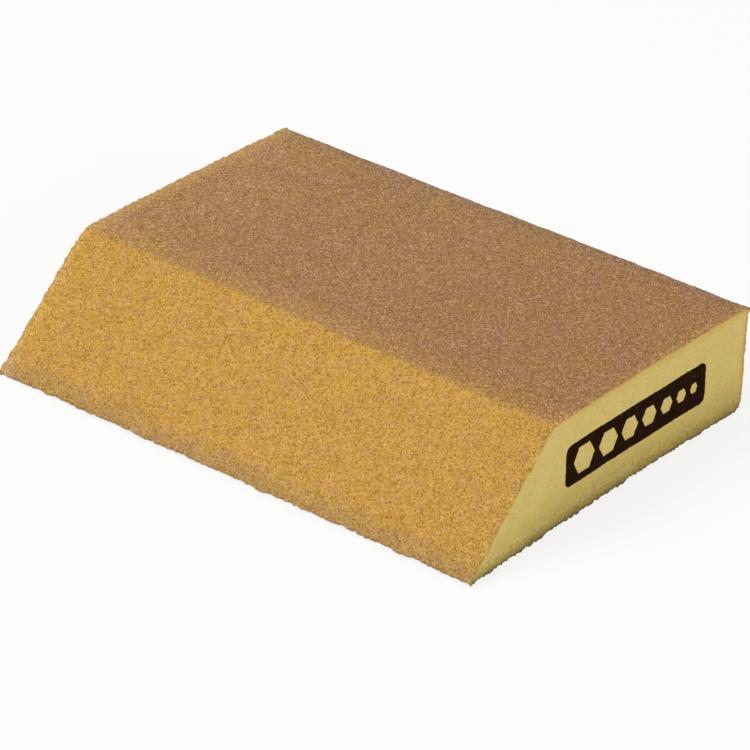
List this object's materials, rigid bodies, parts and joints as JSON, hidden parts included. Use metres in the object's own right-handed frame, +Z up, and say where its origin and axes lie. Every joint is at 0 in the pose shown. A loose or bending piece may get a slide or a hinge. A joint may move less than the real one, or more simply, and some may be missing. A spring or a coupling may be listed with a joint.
{
  "type": "sanding block",
  "caption": "Flexible foam sanding block with a bevelled long side, abrasive coats on its long faces, bare sawn foam ends and a stamped ink panel on an end.",
  "frame": {"origin": "centre of the underside, at the middle of the length and of the width over the coats", "axes": "+X along the length towards the end with the ink panel, +Y from the bevel to the square back, +Z up from the underside to the upper face"},
  "size_m": [0.125, 0.09, 0.024],
  "materials": {
    "foam": "matte",
    "bond_resin": "matte",
    "face_grit": "matte",
    "edge_grit": "matte",
    "ink": "matte"
  },
  "bodies": {
    "root": {"foam_core": "foam", "top_bond_coat": "bond_resin", "bevel_bond_coat": "bond_resin", "bottom_bond_coat": "bond_resin", "back_bond_coat": "bond_resin", "top_grit_coat": "face_grit", "bottom_grit_coat": "face_grit", "bevel_grit_coat": "edge_grit", "back_grit_coat": "edge_grit", "end_print": "ink"}
  },
  "joints": []
}
